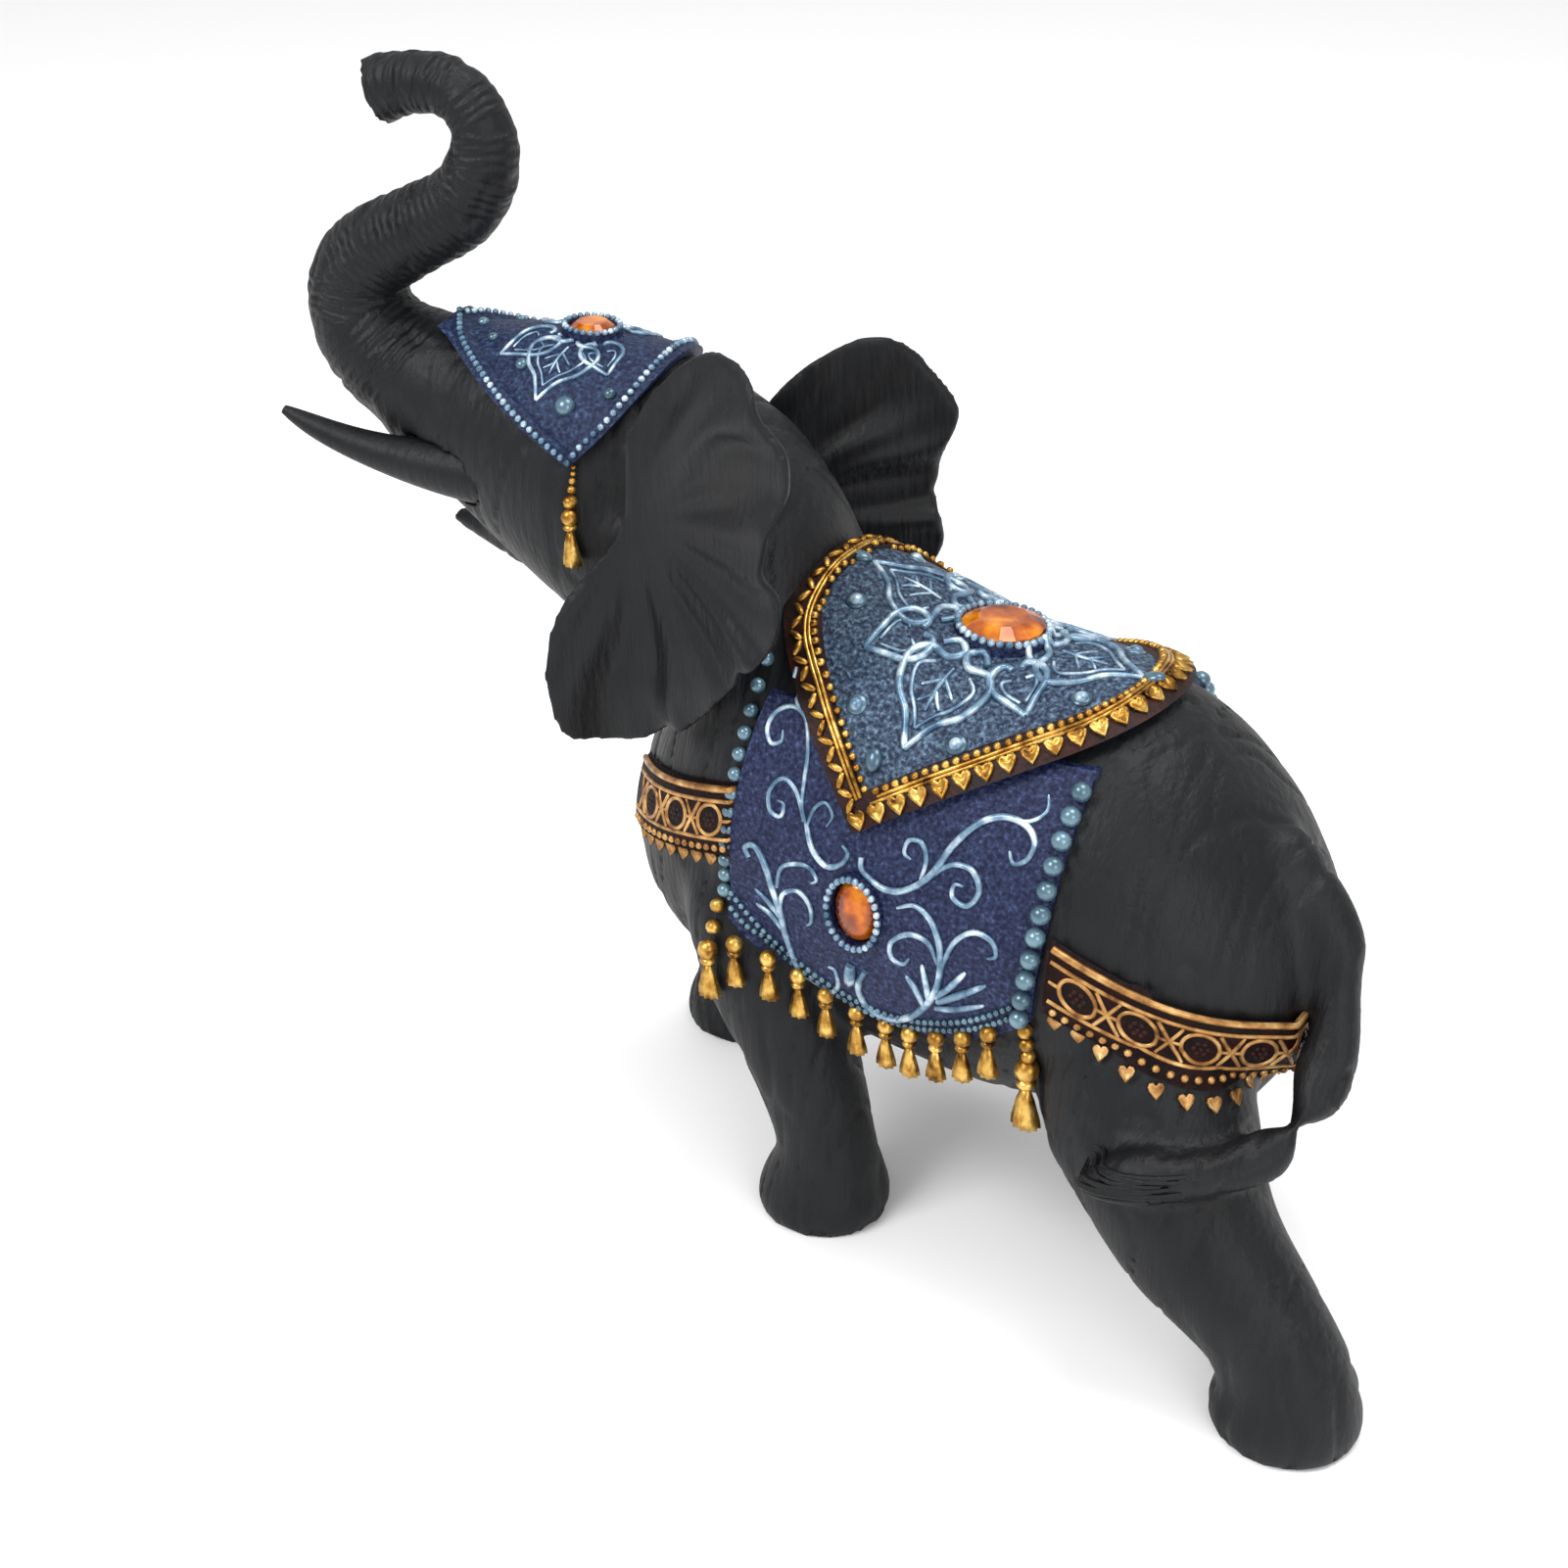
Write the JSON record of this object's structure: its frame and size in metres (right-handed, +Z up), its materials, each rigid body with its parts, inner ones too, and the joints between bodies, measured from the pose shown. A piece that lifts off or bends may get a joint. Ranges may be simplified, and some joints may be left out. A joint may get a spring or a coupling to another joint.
{
  "type": "elephant figurine",
  "caption": "Standing cast resin elephant figurine with raised trunk, parade cloths, bands, tassels and amber stones; rests on its four soles.",
  "frame": {"origin": "bottom centre of the bounding box, on the plane of the soles", "axes": "+X from head to tail, so the elephant faces -X; +Y to the elephant's right; +Z up"},
  "size_m": [0.2586, 0.1042, 0.227],
  "materials": {
    "black_resin": "matte cast resin, fine wrinkles",
    "black_gloss": "gloss varnish",
    "blue_paint": "deep blue cold paint, stippled, dry-brushed silver",
    "silver_blue_paint": "pearl silver-blue paint",
    "gold_paint": "antique gold paint over dark wash",
    "dark_wash": "dark maroon wash in the recesses",
    "amber_stone": "polished amber, foil back"
  },
  "bodies": {
    "root": {"torso": "black_resin", "leg_front_left": "black_resin", "leg_front_right": "black_resin", "leg_rear_left": "black_resin", "leg_rear_right": "black_resin", "head": "black_resin", "lower_jaw": "black_resin", "trunk": "black_resin", "ear_left": "black_resin", "ear_right": "black_resin", "tail": "black_resin", "tusk_left": "black_resin", "tusk_right": "black_resin", "eye_left": "black_gloss", "eye_right": "black_gloss", "saddle_cloth": "blue_paint", "blanket_left": "blue_paint", "blanket_right": "blue_paint", "head_cloth": "blue_paint", "saddle_border": "gold_paint", "chest_band": "gold_paint", "rump_band": "gold_paint", "tassels_left": "gold_paint", "tassels_right": "gold_paint", "head_tassel_left": "gold_paint", "head_tassel_right": "gold_paint", "head_border": "silver_blue_paint", "pearls_left": "silver_blue_paint", "pearls_right": "silver_blue_paint", "back_stone": "amber_stone", "back_setting": "silver_blue_paint", "left_side_stone": "amber_stone", "left_side_setting": "silver_blue_paint", "right_side_stone": "amber_stone", "right_side_setting": "silver_blue_paint", "head_stone": "amber_stone", "head_setting": "silver_blue_paint"}
  },
  "joints": []
}
